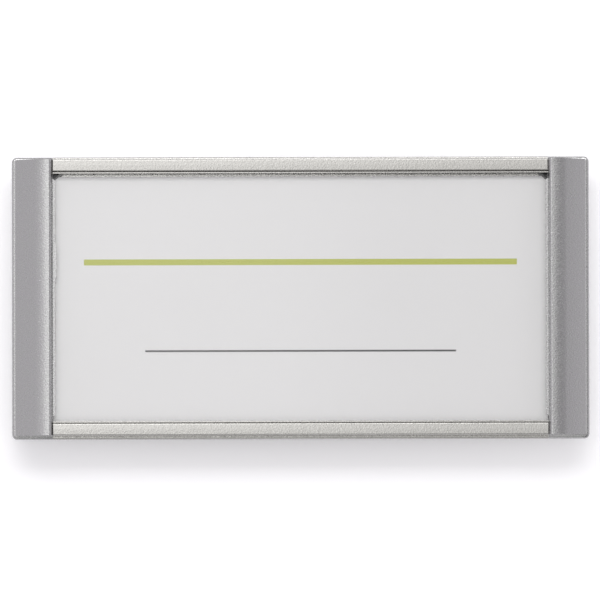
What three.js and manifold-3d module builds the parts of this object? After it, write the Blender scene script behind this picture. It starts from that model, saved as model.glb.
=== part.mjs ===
// A name badge: an aluminium profile with a curved cap on each end, which holds a paper card
// behind a clear cover, and a flat magnetic fastener on the back.
//
// Millimetres, +Z up. The badge lies on its fastener with the card facing up. X is its length,
// and Y its height, with the card's upper edge towards +Y. The origin is the middle of the
// footprint, on the surface that the badge lies on.

import * as THREE from "three";
import { mergeVertices } from "three/addons/utils/BufferGeometryUtils.js";
import Module from "manifold-3d";

const wasm = await Module();
wasm.setup();

// Whole badge
const badgeLength = 68;
const badgeHeight = 33.3;
const cornerRadius = 0.6; // upright corners of the rim
const bodyCornerRadius = 0.3; // upright corners of the caps above the rim

// Rim: the low step that runs round the foot of the profile and of the caps
const rimWidth = 0.35;
const rimEdgeRadius = 0.2; // of the profile
const capRimEdgeRadius = 0.3;
const plateThickness = 1.2; // the profile's back plate, and the rim's height

// Rails: the two long sides of the profile
const railWidth = 1.69; // outer face to the edge of the lip
const railWall = 0.7; // outer wall beside the groove
const lipThickness = 0.4; // lip that holds the cover down
const lipEdgeRadius = 0.06;
const beadWidth = 1.42; // raised bead along the outer part of the rail
const beadRise = 0.3; // its sides, above the lip
const beadCrown = 0.018; // how much higher the middle of its rounded top is
const beadEdgeRadius = 0.16;
const notchWidth = 0.1; // fine notch in the lip, along the foot of the bead
const notchDepth = 0.15;
const railEndRadius = 0.12; // upper edge of the rails' sawn ends

// Caps
const capLength = 4.81; // from the end of the badge to the cap's inner wall
const crestRise = 0.66; // crest above the rails' beads
const capCurveRadius = 4; // from the crest into the slope
const capCurveRoom = 0.95; // the most of the room before the shoulder that this round takes
const capSlopeRadius = 18; // the slope's own slight curve
const capShoulderRadius = 0.25; // where the slope turns down into the end wall
const endWallRise = 0.32; // upright part of the end wall, above the rim
const crestEdgeRadius = 0.3; // from the crest down towards the card
const innerSlopeLean = 18; // degrees from upright, of the inner wall above the beads
const capLipReach = 0.28; // over the cover
const capLipThickness = 0.3;
const capLipEndGap = 0.6; // between the lip's ends and the rails' lips
const capLipEndChamfer = 0.2;
const tongueReach = 5; // into the grooves of the profile
const tongueTipChamfer = 0.15;
const weldDepth = 0.5; // how deep lips and tongues reach into the cap's own body

// Nub on the left cap's lip, where a fingernail lifts the cover
const nubLength = 4.6;
const nubReach = 0.18;
const nubMiddle = 4.3; // above the middle of the badge
const nubRamp = 0.5;

// Cover and card
const coverThickness = 0.5;
const coverHold = 0.43; // how far the cover's long edges reach under the lips
const coverClip = 1.2; // cut off its two upper corners
const cardThickness = 0.25;
const cardMargin = 0.1; // from the cover's lower edge to the card's
const cardTopGap = 0.3; // strip of back plate that shows above the card
const cardClip = 0.7; // cut off its two upper corners

// Fastener
const magnetLength = 45;
const magnetWidth = 13;
const magnetThickness = 3.5;
const magnetCornerRadius = 2;
const magnetEdgeRadius = 0.4;

// Clearances
const seatGap = 0.02; // between flat faces that lie on each other
const slideGap = 0.05; // beside what slides in endways
const endGap = 0.02; // between the profile's ends and the caps

// Fineness of round stretches
const arcStep = 5; // degrees
const cornerSegments = 6;

// Levels above the badge's back
const cardLevel = plateThickness + seatGap;
const coverLevel = cardLevel + cardThickness + seatGap;
const lipLevel = coverLevel + coverThickness + seatGap;
const lipTop = lipLevel + lipThickness;
const capLipTop = lipLevel + capLipThickness;
const beadShoulder = lipTop + beadRise;
const beadTop = beadShoulder + beadCrown;
const capTop = beadTop + crestRise;

// Half sizes in plan
const halfLength = badgeLength / 2;
const halfHeight = badgeHeight / 2;
const railOuter = halfHeight - rimWidth;
const railInner = railOuter - railWidth;
const beadInner = railOuter - beadWidth;
const grooveEnd = railOuter - railWall;
const coverHalfHeight = railInner + coverHold;
const cardLowerEdge = -coverHalfHeight + cardMargin;
const cardUpperEdge = railInner - cardTopGap;
const capFoot = halfLength - capLength;
const insertHalfLength = capFoot - slideGap;
const profileHalfLength = capFoot - endGap;

// Points along an arc round (x, y), from one angle to another in degrees
function arc(x, y, radius, from, to) {
  const steps = Math.max(2, Math.ceil(Math.abs(to - from) / arcStep));
  return Array.from({ length: steps + 1 }, (_, i) => {
    const angle = THREE.MathUtils.degToRad(from + ((to - from) * i) / steps);
    return [x + radius * Math.cos(angle), y + radius * Math.sin(angle)];
  });
}

function shapeOf(points) {
  return new THREE.Shape(points.map(([x, y]) => new THREE.Vector2(x, y)));
}

function roundedRectangle(length, width, radius) {
  const x = length / 2 - radius;
  const y = width / 2 - radius;
  const shape = new THREE.Shape();
  shape.absarc(x, y, radius, 0, Math.PI / 2);
  shape.absarc(-x, y, radius, Math.PI / 2, Math.PI);
  shape.absarc(-x, -y, radius, Math.PI, Math.PI * 1.5);
  shape.absarc(x, -y, radius, Math.PI * 1.5, Math.PI * 2);
  return shape;
}

// A shape drawn in plan (x, y), between two levels
function upright(shape, bottom, top) {
  const geometry = new THREE.ExtrudeGeometry(shape, {
    depth: top - bottom,
    bevelEnabled: false,
    curveSegments: cornerSegments,
  });
  return geometry.translate(0, 0, bottom);
}

// The same with rounded edges above and below, inside the shape's outline
function uprightRounded(shape, bottom, top, radius) {
  const geometry = new THREE.ExtrudeGeometry(shape, {
    depth: top - bottom - 2 * radius,
    bevelThickness: radius,
    bevelSize: radius,
    bevelOffset: -radius,
    bevelSegments: cornerSegments,
    curveSegments: cornerSegments,
  });
  return geometry.translate(0, 0, bottom + radius);
}

// A shape drawn as (y, z), along X and centred
function alongX(shape, length) {
  const geometry = new THREE.ExtrudeGeometry(shape, { depth: length, bevelEnabled: false });
  const turn = new THREE.Matrix4().makeBasis(
    new THREE.Vector3(0, 1, 0),
    new THREE.Vector3(0, 0, 1),
    new THREE.Vector3(1, 0, 0),
  );
  return geometry.applyMatrix4(turn).translate(-length / 2, 0, 0);
}

// A shape drawn as (x, z), along Y and centred
function alongY(shape, length) {
  const geometry = new THREE.ExtrudeGeometry(shape, { depth: length, bevelEnabled: false });
  const turn = new THREE.Matrix4().makeBasis(
    new THREE.Vector3(1, 0, 0),
    new THREE.Vector3(0, 0, 1),
    new THREE.Vector3(0, -1, 0),
  );
  return geometry.applyMatrix4(turn).translate(0, length / 2, 0);
}

function solidOf(geometry) {
  const bare = geometry.clone();
  bare.deleteAttribute("normal");
  bare.deleteAttribute("uv");
  const merged = mergeVertices(bare, 1e-5);
  return new wasm.Manifold(
    new wasm.Mesh({
      numProp: 3,
      vertProperties: new Float32Array(merged.attributes.position.array),
      triVerts: new Uint32Array(merged.index.array),
    }),
  );
}

function geometryOf(solid) {
  const mesh = solid.getMesh();
  const geometry = new THREE.BufferGeometry();
  geometry.setAttribute("position", new THREE.BufferAttribute(mesh.vertProperties, 3));
  geometry.setIndex(new THREE.BufferAttribute(mesh.triVerts, 1));
  geometry.computeVertexNormals();
  return geometry;
}

// Section of one rail from the back's edge up, over the bead and down to the plate, as (y, z)
function railOutline() {
  const crownHalf = beadWidth / 2 - beadEdgeRadius;
  const crownRadius = (crownHalf ** 2 + beadCrown ** 2) / (2 * beadCrown);
  const crownAngle = THREE.MathUtils.radToDeg(Math.asin(crownHalf / crownRadius));
  const beadMiddle = railOuter - beadWidth / 2;
  return [
    [halfHeight, 0],
    ...arc(halfHeight - rimEdgeRadius, plateThickness - rimEdgeRadius, rimEdgeRadius, 0, 90),
    [railOuter, plateThickness],
    ...arc(
      railOuter - beadEdgeRadius,
      beadShoulder - beadEdgeRadius,
      beadEdgeRadius,
      0,
      90 - crownAngle,
    ),
    ...arc(
      beadMiddle,
      beadTop - crownRadius,
      crownRadius,
      90 - crownAngle,
      90 + crownAngle,
    ),
    ...arc(
      beadInner + beadEdgeRadius,
      beadShoulder - beadEdgeRadius,
      beadEdgeRadius,
      90 + crownAngle,
      180,
    ),
    [beadInner, lipTop - notchDepth],
    [beadInner - notchWidth, lipTop],
    ...arc(railInner + lipEdgeRadius, lipTop - lipEdgeRadius, lipEdgeRadius, 90, 180),
    [railInner, lipLevel],
    [grooveEnd, lipLevel],
    [grooveEnd, plateThickness],
  ];
}

// The profile's two ends as (x, z), with the rails' upper edges rounded. The outline reaches
// past the profile below and above, so it only shapes the ends.
function endsOutline() {
  const end = profileHalfLength - railEndRadius;
  const middle = beadTop - railEndRadius;
  return [
    [-profileHalfLength, -plateThickness],
    [profileHalfLength, -plateThickness],
    ...arc(end, middle, railEndRadius, 0, 90),
    [end, capTop],
    [-end, capTop],
    ...arc(-end, middle, railEndRadius, 90, 180),
  ];
}

function profile() {
  const rail = railOutline();
  const otherRail = rail.map(([y, z]) => [-y, z]).reverse();
  const extrusion = solidOf(alongX(shapeOf([...rail, ...otherRail]), badgeLength));
  const ends = solidOf(alongY(shapeOf(endsOutline()), 2 * badgeHeight));
  return geometryOf(extrusion.intersect(ends));
}

// Section of a cap as (x, z), for the cap at +X. Its top is three rounds that run into each
// other: the crest's, the slope's slight one and the shoulder's.
function capOutline() {
  const lean = THREE.MathUtils.degToRad(innerSlopeLean);
  const innerRise = capTop - crestEdgeRadius * (1 - Math.sin(lean)) - beadTop;
  const crest = capFoot + crestEdgeRadius * Math.cos(lean) + innerRise * Math.tan(lean);
  const wall = halfLength - rimWidth;
  const shoulder = wall - capShoulderRadius;
  const shoulderCentre = plateThickness + endWallRise;
  const across = shoulder - crest;
  const drop = capTop - shoulderCentre;

  // The largest round that leaves the crest level and still meets the shoulder's
  const room = (across ** 2 + drop ** 2 - capShoulderRadius ** 2) / (2 * (drop - capShoulderRadius));
  const curveRadius = Math.min(capCurveRadius, capCurveRoom * room);
  const crestCentre = capTop - curveRadius;

  // The slope's round meets the crest's at slopeStart: apart and reach are how far its centre
  // is from the centres of the crest's round and the shoulder's
  const apart = capSlopeRadius - curveRadius;
  const reach = capSlopeRadius - capShoulderRadius;
  const up = curveRadius - drop;
  const span = Math.hypot(across, up);
  const turn = Math.acos((reach ** 2 - apart ** 2 - span ** 2) / (2 * apart * span));
  const slopeStart = Math.atan2(up, across) + turn;
  const slopeX = crest - apart * Math.cos(slopeStart);
  const slopeZ = crestCentre - apart * Math.sin(slopeStart);
  const startAngle = THREE.MathUtils.radToDeg(slopeStart);
  const endAngle = THREE.MathUtils.radToDeg(Math.atan2(shoulderCentre - slopeZ, shoulder - slopeX));
  return [
    [capFoot, 0],
    [halfLength, 0],
    ...arc(halfLength - capRimEdgeRadius, plateThickness - capRimEdgeRadius, capRimEdgeRadius, 0, 90),
    [wall, plateThickness],
    ...arc(shoulder, shoulderCentre, capShoulderRadius, 0, endAngle),
    ...arc(slopeX, slopeZ, capSlopeRadius, endAngle, startAngle).slice(1),
    ...arc(crest, crestCentre, curveRadius, startAngle, 90).slice(1),
    ...arc(crest, capTop - crestEdgeRadius, crestEdgeRadius, 90, 180 - innerSlopeLean).slice(1),
    [capFoot, beadTop],
  ];
}

// Outline in plan of the lip over the cover, for the cap at +X
function capLipOutline(withNub) {
  const reach = capFoot - capLipReach;
  const end = railInner - capLipEndGap;
  const nub = [
    [reach, nubMiddle - nubLength / 2],
    [reach - nubReach, nubMiddle - nubLength / 2 + nubRamp],
    [reach - nubReach, nubMiddle + nubLength / 2 - nubRamp],
    [reach, nubMiddle + nubLength / 2],
  ];
  return [
    [capFoot + weldDepth, end],
    [capFoot + weldDepth, -end],
    [reach + capLipEndChamfer, -end],
    [reach, -end + capLipEndChamfer],
    ...(withNub ? nub : []),
    [reach, end - capLipEndChamfer],
    [reach + capLipEndChamfer, end],
  ];
}

// Outline in plan of the tongue that fills the upper groove beside the cover, at +X
function tongueOutline() {
  const near = coverHalfHeight + slideGap;
  const far = grooveEnd - slideGap;
  const tip = capFoot - tongueReach;
  return [
    [capFoot + weldDepth, near],
    [capFoot + weldDepth, far],
    [tip + tongueTipChamfer, far],
    [tip, far - tongueTipChamfer],
    [tip, near + tongueTipChamfer],
    [tip + tongueTipChamfer, near],
  ];
}

// side is 1 for the cap at +X and -1 for the one at -X
function endCap(side, withNub) {
  const mirrored = (points, sideY = 1) => shapeOf(points.map(([x, y]) => [side * x, sideY * y]));
  const below = -2 * capRimEdgeRadius;
  const rimPlan = uprightRounded(
    roundedRectangle(badgeLength, badgeHeight, cornerRadius),
    below,
    plateThickness,
    capRimEdgeRadius,
  );
  const bodyPlan = upright(
    roundedRectangle(badgeLength - 2 * rimWidth, badgeHeight - 2 * rimWidth, bodyCornerRadius),
    below,
    2 * capTop,
  );
  const plan = solidOf(rimPlan).add(solidOf(bodyPlan));
  const body = solidOf(alongY(mirrored(capOutline()), badgeHeight)).intersect(plan);
  const lip = upright(mirrored(capLipOutline(withNub)), lipLevel, capLipTop);
  const tongues = [1, -1].map((sideY) =>
    upright(mirrored(tongueOutline(), sideY), plateThickness + seatGap, lipLevel - seatGap),
  );
  const joined = [lip, ...tongues].reduce((whole, extra) => whole.add(solidOf(extra)), body);
  return geometryOf(joined);
}

// A sheet between two long edges, with its two upper corners cut off
function sheet(lowerEdge, upperEdge, clip, bottom, thickness) {
  const end = insertHalfLength;
  const outline = [
    [-end, lowerEdge],
    [end, lowerEdge],
    [end, upperEdge - clip],
    [end - clip, upperEdge],
    [-end + clip, upperEdge],
    [-end, upperEdge - clip],
  ];
  return upright(shapeOf(outline), bottom, bottom + thickness);
}

function magnetBar() {
  const plan = roundedRectangle(magnetLength, magnetWidth, magnetCornerRadius);
  return uprightRounded(plan, 0, magnetThickness, magnetEdgeRadius);
}

function material(color, roughness, metalness, extra = {}) {
  return new THREE.MeshStandardMaterial({ color, roughness, metalness, ...extra });
}

function piece(name, geometry, look) {
  const mesh = new THREE.Mesh(geometry, look);
  mesh.name = name;
  return mesh;
}

const cover = sheet(-coverHalfHeight, coverHalfHeight, coverClip, coverLevel, coverThickness);
const card = sheet(cardLowerEdge, cardUpperEdge, cardClip, cardLevel, cardThickness);

// The badge proper is built with its back at level 0 and seated on the fastener
const badge = new THREE.Group();
badge.position.z = magnetThickness + seatGap;
badge.add(
  piece("profile", profile(), material(0xbfbfba, 0.45, 1)),
  piece("end_cap_left", endCap(-1, true), material(0xa5a3a6, 0.5, 0.8)),
  piece("end_cap_right", endCap(1, false), material(0xa5a3a6, 0.5, 0.8)),
  piece("window", cover, material(0xffffff, 0.05, 0, { transparent: true, opacity: 0.2 })),
  piece("card", card, material(0xf2f2f0, 0.9, 0)),
);

const whole = new THREE.Group();
whole.add(badge, piece("magnet_bar", magnetBar(), material(0x2b2b2d, 0.5, 0)));

export default whole;
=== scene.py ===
import math

import bpy
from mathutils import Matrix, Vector


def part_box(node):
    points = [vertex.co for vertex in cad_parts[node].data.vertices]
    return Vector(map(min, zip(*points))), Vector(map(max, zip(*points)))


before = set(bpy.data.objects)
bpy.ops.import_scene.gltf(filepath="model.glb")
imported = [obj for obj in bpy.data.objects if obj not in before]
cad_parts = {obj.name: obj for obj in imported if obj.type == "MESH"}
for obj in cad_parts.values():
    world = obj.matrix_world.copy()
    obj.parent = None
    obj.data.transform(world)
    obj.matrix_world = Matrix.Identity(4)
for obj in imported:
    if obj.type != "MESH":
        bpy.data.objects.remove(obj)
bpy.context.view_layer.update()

MM = 0.001  # one millimetre in Blender's metres
scene = bpy.context.scene

# Picture and camera
PICTURE_PIXELS = 600
PIXELS_PER_MM = 8.49
CAMERA_DISTANCE = 2500 * MM
CAMERA_TILT = math.radians(4.5)  # towards the lower long side of the badge
PICTURE_TURN = math.radians(0.14)  # how far the badge is turned anticlockwise in the picture
CAMERA_AIM = Vector((-0.06, -0.27, 4.7)) * MM  # what the middle of the picture shows
NEAREST_SHOWN = 10 * MM
SENSOR_WIDTH = 36  # in millimetres, as Blender gives it

# Edge rounding of the carried-over solids
CAP_EDGE = 0.09 * MM
PROFILE_EDGE = 0.035 * MM
FASTENER_EDGE = 0.05 * MM
EDGE_SEGMENTS = 3
WELD_DISTANCE = 0.0005 * MM
FLAT_ANGLE = math.radians(0.5)  # faces that meet at less than this are one face
ROUNDED_ANGLE = math.radians(35)  # edges sharper than this are rounded

# Textures, with how many features each has to the millimetre
SAND = {"scale": 5.5}
PEARL = {"scale": 0.7}
SMEAR = {"scale": 0.08, "detail": 3}
WAVES = {"scale": 0.05, "detail": 1}
FIBRES = {"scale": 2.5, "detail": 6, "roughness": 0.6}
CLOUDS = {"scale": 0.05}
INK_GRAIN = {"scale": 9, "detail": 3}
PITS = {"scale": 4, "detail": 4, "roughness": 0.6}
FLOOR_CLOUDS = {"scale": 0.02}

# Surfaces. A pair of colours or of numbers gives the two ends that a texture runs between
WHITE = (1, 1, 1, 1)
ALUMINIUM_TINTS = ((0.437, 0.43, 0.415, 1), (0.462, 0.455, 0.44, 1))
PAINT_TINTS = ((0.435, 0.425, 0.44, 1), (0.43, 0.44, 0.43, 1))
FLAKE_SHARE = 0.3  # how much of the metal's tint changes from grain to grain
GRAIN_GLOSS = 0.04  # how much rougher or smoother than the mean a grain can be
COVER_TINT = (0.975, 0.975, 0.975, 1)
COVER_ROUGHNESS = (0.12, 0.16)
COVER_IOR = 1.6
PAPER_TONES = ((0.75, 0.75, 0.75, 1), (0.785, 0.785, 0.785, 1))
PAPER_ROUGHNESS = (0.5, 0.7)
CLOUD_SHARE = 0.6  # how much of the paper's tone changes slowly, and not from fibre to fibre
FASTENER_TONES = ((0.012, 0.012, 0.013, 1), (0.03, 0.03, 0.032, 1))
FASTENER_ROUGHNESS = (0.4, 0.62)
FLOOR_TONES = ((0.88, 0.88, 0.90, 1), (0.90, 0.90, 0.91, 1))
FLOOR_ROUGHNESS = 0.9
FLOOR_GLOW = 0.27
FLOOR_GLOW_TINT = (0.99, 0.98, 1, 1)

# Printing on the card, in mm from the middle of the badge
INK_EDGE = 0.03  # how wide the soft edge of a rule is
INK_COVER = (0.9, 1.0)
PRINTED_RULES = (
    {"middle": (0, 4.2), "size": (51, 0.7), "ink": (0.46, 0.50, 0.05, 1)},
    {"middle": (0, -6.3), "size": (36.6, 0.22), "ink": (0.03, 0.03, 0.03, 1)},
)

# Painted shade at the two ends of the channel that the card lies in, in mm
CHANNEL_SHADE_START = 1.3  # from the card's end, where the darkening starts
CHANNEL_SHADE_FULL = 0.9  # from the card's end, where it is full
CHANNEL_SHADE_REACH = 0.2  # how far from the channel's floor it reaches
# the colour of the painted shade at the channel's ends
CHANNEL_SHADE_TINT = (0.055, 0.055, 0.057, 1)

# Floor
FLOOR_SIZE = 3000 * MM
FLOOR_GAP = 0.02 * MM  # below the fastener, so the two surfaces don't coincide

# Studio round the badge, as brightness by direction, where 1 is white
STUDIO_LEFT = 0.8  # at the horizon towards -X
STUDIO_STEPS = (  # how it changes towards +X, by the X part of the direction
    {"start": -0.7, "end": 0.0, "change": 0.2},
    {"start": 0.07, "end": 0.24, "change": -0.56},
    {"start": 0.55, "end": 1.0, "change": 0.42},
)
LONG_SIDE_FALL = 0.4  # how much darker it is at the horizon towards +Y and -Y
TOP_GAIN = 0.12  # how much brighter it is towards +Y, and darker towards -Y
RIGHT_FILL = 0.4  # for matt surfaces, how much brighter it is towards +X, and darker towards -X
OVERHEAD_TINT = (1.0, 1.0, 0.975, 1)
SIDE_TINT = (1.01, 0.98, 1.015, 1)
SIDE_TINT_REACH = 0.4  # the X part of the direction where the side's tint is full

# Lamps
KEY_CENTRE = Vector((0, 385, 550)) * MM
KEY_SIZE = (800 * MM, 230 * MM)
KEY_STRENGTH = 3.3
KEY_AIM = Vector((0, 0, 5)) * MM
LEFT_BOX_EDGE = 4 * MM  # how far it reaches to the right of the badge's middle
LEFT_BOX_SIZE = (100 * MM, 340 * MM)
LEFT_BOX_CENTRE = Vector((LEFT_BOX_EDGE - LEFT_BOX_SIZE[0] / 2, 130 * MM, 300 * MM))
LEFT_BOX_STRENGTH = 0.9


def node(tree, kind, inputs=None, settings=None):
    """A new node, with its inputs set to values or linked from other nodes' outputs."""
    made = tree.nodes.new(kind)
    for name, value in (settings or {}).items():
        setattr(made, name, value)
    for name, value in (inputs or {}).items():
        if isinstance(value, bpy.types.NodeSocket):
            tree.links.new(value, made.inputs[name])
        else:
            made.inputs[name].default_value = value
    return made


def maths(tree, operation, first, second=0.0):
    made = node(tree, "ShaderNodeMath", {0: first, 1: second}, {"operation": operation})
    return made.outputs[0]


def mixture(tree, first, second, share):
    """The mean of two values, with the second one's share of it."""
    one = maths(tree, "MULTIPLY", first, 1 - share)
    other = maths(tree, "MULTIPLY", second, share)
    return maths(tree, "ADD", one, other)


def blend(tree, factor, first, second):
    """A colour between two colours, which go to inputs 6 and 7 of the node."""
    made = node(tree, "ShaderNodeMix", {0: factor, 6: first, 7: second}, {"data_type": "RGBA"})
    return made.outputs[2]


def ramp(tree, value, start, end, low=0.0, high=1.0, curve="SMOOTHSTEP"):
    """A value that goes from low to high while another goes from start to end."""
    made = node(
        tree,
        "ShaderNodeMapRange",
        {"Value": value, "From Min": start, "From Max": end, "To Min": low, "To Max": high},
        {"interpolation_type": curve},
    )
    return made.outputs[0]


def spread(tree, value, low, high):
    """A value from 0 to 1 spread evenly from low to high."""
    return ramp(tree, value, 0.0, 1.0, low, high, "LINEAR")


def parts(tree, vector):
    """The X, Y and Z parts of a vector."""
    return node(tree, "ShaderNodeSeparateXYZ", {0: vector}).outputs


def noise(tree, place, scale, detail=2, roughness=0.5):
    """Noise with scale features to the millimetre."""
    made = node(
        tree,
        "ShaderNodeTexNoise",
        {"Vector": place, "Scale": scale, "Detail": detail, "Roughness": roughness},
    )
    return made.outputs[0]


def cells(tree, place, scale):
    """Three random values from 0 to 1 for each small cell, scale cells to the millimetre."""
    pattern = node(tree, "ShaderNodeTexVoronoi", {"Vector": place, "Scale": scale})
    return node(tree, "ShaderNodeSeparateColor", {0: pattern.outputs["Color"]}).outputs


def relief(tree, height, strength, depth):
    """A surface's normal with fine relief, depth deep in metres."""
    made = node(
        tree,
        "ShaderNodeBump",
        {"Height": height, "Strength": strength, "Distance": depth},
    )
    return made.outputs[0]


def new_material(name):
    """An empty material, its nodes, and the place on the surface in millimetres."""
    made = bpy.data.materials.new(name)
    made.use_nodes = True
    tree = made.node_tree
    tree.nodes.clear()
    place = node(tree, "ShaderNodeTexCoord").outputs["Object"]
    per_mm = node(
        tree,
        "ShaderNodeVectorMath",
        {0: place, "Scale": 1 / MM},
        {"operation": "SCALE"},
    )
    return made, tree, per_mm.outputs[0]


def finish_surface(tree, shader):
    node(tree, "ShaderNodeOutputMaterial", {"Surface": shader.outputs[0]})


def painted_channel_shade(tree, place):
    """1 on the channel's floor near its two ends, where shade is painted into the metal's colour,
    and 0 elsewhere.
    """
    card_low, card_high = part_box("card")
    across, along, height = parts(tree, place)
    card_end = card_high[0] / MM
    end = ramp(
        tree,
        maths(tree, "ABSOLUTE", across),
        card_end - CHANNEL_SHADE_START,
        card_end - CHANNEL_SHADE_FULL,
    )
    aside = maths(tree, "ABSOLUTE", along)
    between = maths(tree, "LESS_THAN", aside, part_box("window")[1][1] / MM)
    above = maths(tree, "ABSOLUTE", maths(tree, "SUBTRACT", height, card_low[2] / MM))
    on_floor = maths(tree, "LESS_THAN", above, CHANNEL_SHADE_REACH)
    return maths(tree, "MULTIPLY", end, maths(tree, "MULTIPLY", between, on_floor))


def grained_metal(name, tints, roughness, depth, metallic=1.0, painted_end_shade=False):
    """Metal or metallic paint with a fine sand grain, depth deep in metres. The grain is relief
    and hardly colour, so it sparkles where the reflection changes and is smooth elsewhere."""
    made, tree, place = new_material(name)
    sand = noise(tree, place, **SAND)
    pearl = noise(tree, place, **PEARL)
    flakes = cells(tree, place, SAND["scale"])
    colour = blend(tree, mixture(tree, pearl, flakes[0], FLAKE_SHARE), *tints)
    # painted shade: the channel's floor is darkened near its ends, where it lies in shade
    if painted_end_shade:
        colour = blend(tree, painted_channel_shade(tree, place), colour, CHANNEL_SHADE_TINT)
    shader = node(
        tree,
        "ShaderNodeBsdfPrincipled",
        {
            "Base Color": colour,
            "Metallic": metallic,
            "Roughness": spread(tree, flakes[2], roughness - GRAIN_GLOSS, roughness + GRAIN_GLOSS),
            "Normal": relief(tree, sand, strength=1.0, depth=depth),
        },
    )
    finish_surface(tree, shader)
    return made


def clear_cover(name):
    """Clear plastic: what lies behind it shows through, and its front mirrors by angle."""
    made, tree, place = new_material(name)
    smear = noise(tree, place, **SMEAR)
    waves = noise(tree, place, **WAVES)
    through = node(tree, "ShaderNodeBsdfTransparent", {"Color": COVER_TINT})
    mirror = node(
        tree,
        "ShaderNodeBsdfGlossy",
        {
            "Color": WHITE,
            "Roughness": spread(tree, smear, *COVER_ROUGHNESS),
            "Normal": relief(tree, waves, strength=0.4, depth=0.01 * MM),
        },
    )
    share = node(tree, "ShaderNodeFresnel", {"IOR": COVER_IOR}).outputs[0]
    behind = node(tree, "ShaderNodeNewGeometry").outputs["Backfacing"]
    front_share = maths(tree, "MULTIPLY", share, maths(tree, "SUBTRACT", 1.0, behind))
    mixed = node(
        tree,
        "ShaderNodeMixShader",
        {0: front_share, 1: through.outputs[0], 2: mirror.outputs[0]},
    )
    finish_surface(tree, mixed)
    return made


def ruled(tree, across, along, rule):
    """1 on a straight printed rule and 0 beside it, with edges as soft as ink on paper."""
    mask = None
    for value, middle, size in (
        (across, rule["middle"][0], rule["size"][0]),
        (along, rule["middle"][1], rule["size"][1]),
    ):
        away = maths(tree, "ABSOLUTE", maths(tree, "SUBTRACT", value, middle))
        inside = maths(tree, "DIVIDE", maths(tree, "SUBTRACT", size / 2, away), INK_EDGE)
        step = node(tree, "ShaderNodeClamp", {0: maths(tree, "ADD", inside, 0.5)}).outputs[0]
        mask = step if mask is None else maths(tree, "MULTIPLY", mask, step)
    return mask


def printed_paper(name):
    """White coated paper with a heading rule and a line to write on."""
    made, tree, place = new_material(name)
    fibres = noise(tree, place, **FIBRES)
    clouds = noise(tree, place, **CLOUDS)
    across, along, _ = parts(tree, place)
    surface = blend(tree, mixture(tree, fibres, clouds, CLOUD_SHARE), *PAPER_TONES)
    cover = spread(tree, noise(tree, place, **INK_GRAIN), *INK_COVER)
    for rule in PRINTED_RULES:
        mask = ruled(tree, across, along, rule)
        surface = blend(tree, maths(tree, "MULTIPLY", mask, cover), surface, rule["ink"])
    shader = node(
        tree,
        "ShaderNodeBsdfPrincipled",
        {
            "Base Color": surface,
            "Roughness": spread(tree, fibres, *PAPER_ROUGHNESS),
            "Normal": relief(tree, fibres, strength=0.3, depth=0.01 * MM),
        },
    )
    finish_surface(tree, shader)
    return made


def moulded_plastic(name):
    """Black plastic with a fine moulded texture."""
    made, tree, place = new_material(name)
    pits = noise(tree, place, **PITS)
    shader = node(
        tree,
        "ShaderNodeBsdfPrincipled",
        {
            "Base Color": blend(tree, pits, *FASTENER_TONES),
            "Roughness": spread(tree, pits, *FASTENER_ROUGHNESS),
            "Normal": relief(tree, pits, strength=0.6, depth=0.02 * MM),
        },
    )
    finish_surface(tree, shader)
    return made


def white_floor(name):
    """A white table that is lit from within as well, so shadows on it stay light."""
    made, tree, place = new_material(name)
    shader = node(
        tree,
        "ShaderNodeBsdfPrincipled",
        {
            "Base Color": blend(tree, noise(tree, place, **FLOOR_CLOUDS), *FLOOR_TONES),
            "Roughness": FLOOR_ROUGHNESS,
            "Emission Color": FLOOR_GLOW_TINT,
            "Emission Strength": FLOOR_GLOW,
        },
    )
    finish_surface(tree, shader)
    return made


def smooth_group():
    """Geometry nodes that join a solid's faces at their corners and shade them all smooth."""
    group = bpy.data.node_groups.new("joined_faces", "GeometryNodeTree")
    group.interface.new_socket("Geometry", in_out="INPUT", socket_type="NodeSocketGeometry")
    group.interface.new_socket("Geometry", in_out="OUTPUT", socket_type="NodeSocketGeometry")
    start = node(group, "NodeGroupInput")
    joined = node(
        group,
        "GeometryNodeMergeByDistance",
        {"Geometry": start.outputs[0], "Distance": WELD_DISTANCE},
    )
    plain = node(
        group,
        "GeometryNodeSetMeshNormal",
        {"Mesh": joined.outputs[0], "Remove Custom": True},
        {"mode": "SHARPNESS"},
    )
    smooth = node(
        group,
        "GeometryNodeSetShadeSmooth",
        {"Geometry": plain.outputs[0], "Shade Smooth": True},
        {"domain": "FACE"},
    )
    node(group, "NodeGroupOutput", {0: smooth.outputs[0]})
    return group


def dress(name, material, edge=0.0):
    """Gives a carried-over solid its material and, with an edge width, finely rounded edges."""
    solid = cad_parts[name]
    for slot in solid.material_slots:
        slot.material = material
    if not edge:
        return
    solid.modifiers.new("joined", "NODES").node_group = joined_faces
    flat = solid.modifiers.new("flat", "DECIMATE")
    flat.decimate_type = "DISSOLVE"
    flat.angle_limit = FLAT_ANGLE
    rounded = solid.modifiers.new("rounded", "BEVEL")
    rounded.width = edge
    rounded.segments = EDGE_SEGMENTS
    rounded.limit_method = "ANGLE"
    rounded.angle_limit = ROUNDED_ANGLE
    rounded.use_clamp_overlap = True
    rounded.harden_normals = False
    shaded = solid.modifiers.new("shaded", "WEIGHTED_NORMAL")
    shaded.keep_sharp = False


def add_floor():
    mesh = bpy.data.meshes.new("floor")
    half = FLOOR_SIZE / 2
    corners = [(-half, -half, 0), (half, -half, 0), (half, half, 0), (-half, half, 0)]
    mesh.from_pydata(corners, [], [(0, 1, 2, 3)])
    mesh.materials.append(white_floor("floor_white"))
    floor = bpy.data.objects.new("floor", mesh)
    floor.location.z = -FLOOR_GAP
    scene.collection.objects.link(floor)


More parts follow.
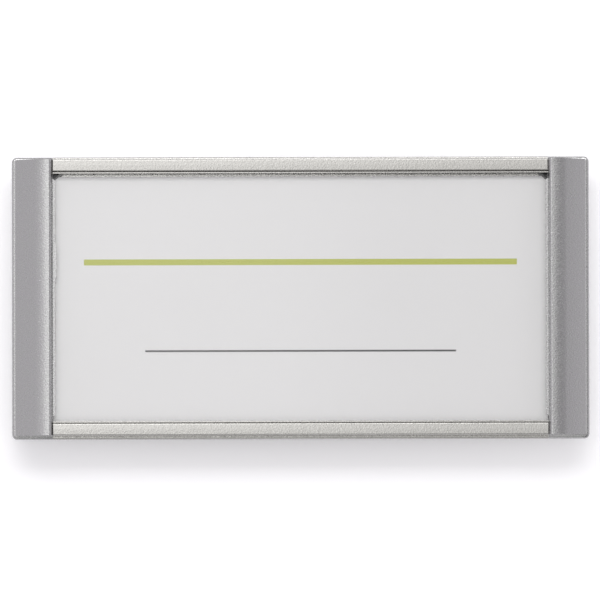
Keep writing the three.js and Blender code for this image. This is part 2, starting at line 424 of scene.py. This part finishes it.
def add_world():
    """A plain studio round the badge, brightest about overhead, with a darker band between there
    and +X, and with one slight tint overhead and another at the sides."""
    world = bpy.data.worlds.new("studio")
    world.use_nodes = True
    tree = world.node_tree
    tree.nodes.clear()
    ray = node(tree, "ShaderNodeTexCoord").outputs["Generated"]
    across, along, _ = parts(tree, ray)
    level = STUDIO_LEFT
    for step in STUDIO_STEPS:
        change = ramp(tree, across, step["start"], step["end"], 0.0, step["change"])
        level = maths(tree, "ADD", level, change)
    fall = maths(tree, "MULTIPLY", maths(tree, "MULTIPLY", along, along), LONG_SIDE_FALL)
    level = maths(tree, "SUBTRACT", level, fall)
    level = maths(tree, "ADD", level, maths(tree, "MULTIPLY", along, TOP_GAIN))
    soft = node(tree, "ShaderNodeLightPath").outputs["Is Diffuse Ray"]
    fill = maths(tree, "MULTIPLY", maths(tree, "MULTIPLY", soft, across), RIGHT_FILL)
    level = maths(tree, "ADD", level, fill)
    aside = maths(tree, "DIVIDE", maths(tree, "ABSOLUTE", across), SIDE_TINT_REACH)
    tint = blend(tree, maths(tree, "MINIMUM", aside, 1.0), OVERHEAD_TINT, SIDE_TINT)
    glow = node(tree, "ShaderNodeBackground", {"Color": tint, "Strength": level})
    node(tree, "ShaderNodeOutputWorld", {"Surface": glow.outputs[0]})
    scene.world = world


def softbox(name, centre, size, strength, target=None):
    """A rectangular lamp that faces straight down or towards a target. Its power is its
    strength times pi times its area."""
    width, depth = size
    data = bpy.data.lights.new(name, "AREA")
    data.shape = "RECTANGLE"
    data.size = width
    data.size_y = depth
    data.energy = strength * math.pi * width * depth
    lamp = bpy.data.objects.new(name, data)
    lamp.visible_camera = False
    lamp.location = centre
    if target is not None:
        lamp.rotation_euler = (target - centre).to_track_quat("-Z", "Y").to_euler()
    scene.collection.objects.link(lamp)


def add_lamps():
    softbox("key_from_above", KEY_CENTRE, KEY_SIZE, KEY_STRENGTH, KEY_AIM)
    softbox("softbox_left", LEFT_BOX_CENTRE, LEFT_BOX_SIZE, LEFT_BOX_STRENGTH)


def add_camera():
    data = bpy.data.cameras.new("camera")
    data.sensor_width = SENSOR_WIDTH
    field = PICTURE_PIXELS / PIXELS_PER_MM * MM
    data.lens = SENSOR_WIDTH * CAMERA_DISTANCE / field
    data.clip_start = NEAREST_SHOWN
    camera = bpy.data.objects.new("camera", data)
    camera.rotation_euler = (CAMERA_TILT, 0, -PICTURE_TURN)
    away = camera.rotation_euler.to_matrix() @ Vector((0, 0, 1))
    camera.location = CAMERA_AIM + away * CAMERA_DISTANCE
    scene.collection.objects.link(camera)
    scene.camera = camera


aluminium = grained_metal(
    "anodised_aluminium",
    ALUMINIUM_TINTS,
    roughness=0.27,
    depth=0.018 * MM,
    # paints shade onto the ends of the channel's floor
    painted_end_shade=True,
)
cap_paint = grained_metal(
    "cap_metallic_paint",
    PAINT_TINTS,
    roughness=0.28,
    depth=0.028 * MM,
    metallic=0.95,
)
joined_faces = smooth_group()
dress("profile", aluminium, PROFILE_EDGE)
dress("end_cap_left", cap_paint, CAP_EDGE)
dress("end_cap_right", cap_paint, CAP_EDGE)
dress("window", clear_cover("clear_cover"))
dress("card", printed_paper("card_paper"))
dress("magnet_bar", moulded_plastic("fastener_plastic"), FASTENER_EDGE)

scene.view_settings.view_transform = "Standard"
add_floor()
add_world()
add_lamps()
add_camera()
